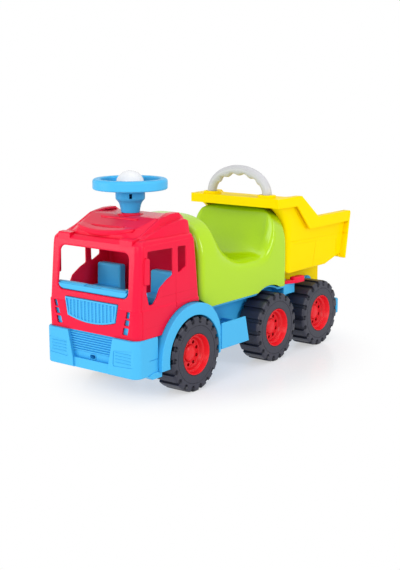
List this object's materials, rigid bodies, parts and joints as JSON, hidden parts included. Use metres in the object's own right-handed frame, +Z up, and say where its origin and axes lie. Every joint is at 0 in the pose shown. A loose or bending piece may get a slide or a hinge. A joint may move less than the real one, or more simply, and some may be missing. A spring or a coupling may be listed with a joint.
{
  "type": "push along truck",
  "caption": "Moulded plastic push-along tipper truck: hollow cab with a roof steering wheel, ride-on saddle, tipping rear bed with a push handle, and free-rolling ribbed wheels.",
  "frame": {"origin": "floor point under the middle of the truck's bounding box", "axes": "+Z up from the floor, -Y is the way the truck faces, +X is its left side"},
  "size_m": [0.278, 0.822, 0.4555],
  "materials": {
    "red_plastic": "satin moulded",
    "blue_plastic": "satin moulded",
    "green_plastic": "satin moulded",
    "yellow_plastic": "satin moulded",
    "grey_plastic": "satin moulded",
    "white_plastic": "gloss moulded",
    "tyre_plastic": "matt moulded",
    "steel": "zinc plated"
  },
  "bodies": {
    "chassis": {"cab_shell": "red_plastic", "chassis_frame": "blue_plastic", "front_bumper": "blue_plastic", "rear_bumper": "blue_plastic", "left_mudguard": "blue_plastic", "right_mudguard": "blue_plastic", "left_side_step": "blue_plastic", "right_side_step": "blue_plastic", "left_cab_seat": "blue_plastic", "right_cab_seat": "blue_plastic", "left_hinge_pin": "blue_plastic", "right_hinge_pin": "blue_plastic", "grille_panel": "blue_plastic", "cab_interior": "blue_plastic", "seat_saddle": "green_plastic", "front_axle": "steel", "middle_axle": "steel", "rear_axle": "steel", "seat_screw_front": "steel", "seat_screw_rear": "steel", "lever_pin": "steel", "front_left_push_nut": "steel", "front_right_push_nut": "steel", "middle_left_push_nut": "steel", "middle_right_push_nut": "steel", "rear_left_push_nut": "steel", "rear_right_push_nut": "steel"},
    "steering": {"steering_column": "blue_plastic", "steering_wheel": "blue_plastic", "steering_washer": "steel", "steering_screw": "steel", "horn_spring": "steel"},
    "horn": {"horn_button": "white_plastic"},
    "tipper": {"tipper_bed": "yellow_plastic", "push_handle": "grey_plastic", "left_handle_screw": "steel", "right_handle_screw": "steel"},
    "lever": {"lock_lever": "red_plastic"},
    "front_left_wheel": {"front_left_tyre": "tyre_plastic", "front_left_rim": "red_plastic", "front_left_hub_cap": "red_plastic"},
    "front_right_wheel": {"front_right_tyre": "tyre_plastic", "front_right_rim": "red_plastic", "front_right_hub_cap": "red_plastic"},
    "middle_left_wheel": {"middle_left_tyre": "tyre_plastic", "middle_left_rim": "red_plastic", "middle_left_hub_cap": "red_plastic"},
    "middle_right_wheel": {"middle_right_tyre": "tyre_plastic", "middle_right_rim": "red_plastic", "middle_right_hub_cap": "red_plastic"},
    "rear_left_wheel": {"rear_left_tyre": "tyre_plastic", "rear_left_rim": "red_plastic", "rear_left_hub_cap": "red_plastic"},
    "rear_right_wheel": {"rear_right_tyre": "tyre_plastic", "rear_right_rim": "red_plastic", "rear_right_hub_cap": "red_plastic"}
  },
  "joints": [
    {"name": "steering_turn", "type": "hinge", "parent": "chassis", "child": "steering", "pos_m": [0, -0.282, 0.412], "axis": [0, 0, 1], "continuous": true},
    {"name": "horn_press", "type": "slide", "parent": "steering", "child": "horn", "axis": [0, 0, -1], "range_m": [0, 0.004], "stiffness_N_per_m": 700, "springref_m": -0.002, "deforming": ["horn_spring"]},
    {"name": "tipper_tilt", "type": "hinge", "parent": "chassis", "child": "tipper", "pos_m": [0, 0.287, 0.145], "axis": [-1, 0, 0], "range_deg": [0, 45]},
    {"name": "lever_swing", "type": "hinge", "parent": "chassis", "child": "lever", "pos_m": [0.1, 0.143, 0.1646], "axis": [0, 0, -1], "range_deg": [0, 45]},
    {"name": "front_left_spin", "type": "hinge", "parent": "chassis", "child": "front_left_wheel", "pos_m": [0.1105, -0.238, 0.07949], "axis": [1, 0, 0], "continuous": true},
    {"name": "front_right_spin", "type": "hinge", "parent": "chassis", "child": "front_right_wheel", "pos_m": [-0.1105, -0.238, 0.07949], "axis": [1, 0, 0], "continuous": true},
    {"name": "middle_left_spin", "type": "hinge", "parent": "chassis", "child": "middle_left_wheel", "pos_m": [0.1105, 0.061, 0.07949], "axis": [1, 0, 0], "continuous": true},
    {"name": "middle_right_spin", "type": "hinge", "parent": "chassis", "child": "middle_right_wheel", "pos_m": [-0.1105, 0.061, 0.07949], "axis": [1, 0, 0], "continuous": true},
    {"name": "rear_left_spin", "type": "hinge", "parent": "chassis", "child": "rear_left_wheel", "pos_m": [0.1105, 0.251, 0.07949], "axis": [1, 0, 0], "continuous": true},
    {"name": "rear_right_spin", "type": "hinge", "parent": "chassis", "child": "rear_right_wheel", "pos_m": [-0.1105, 0.251, 0.07949], "axis": [1, 0, 0], "continuous": true}
  ]
}
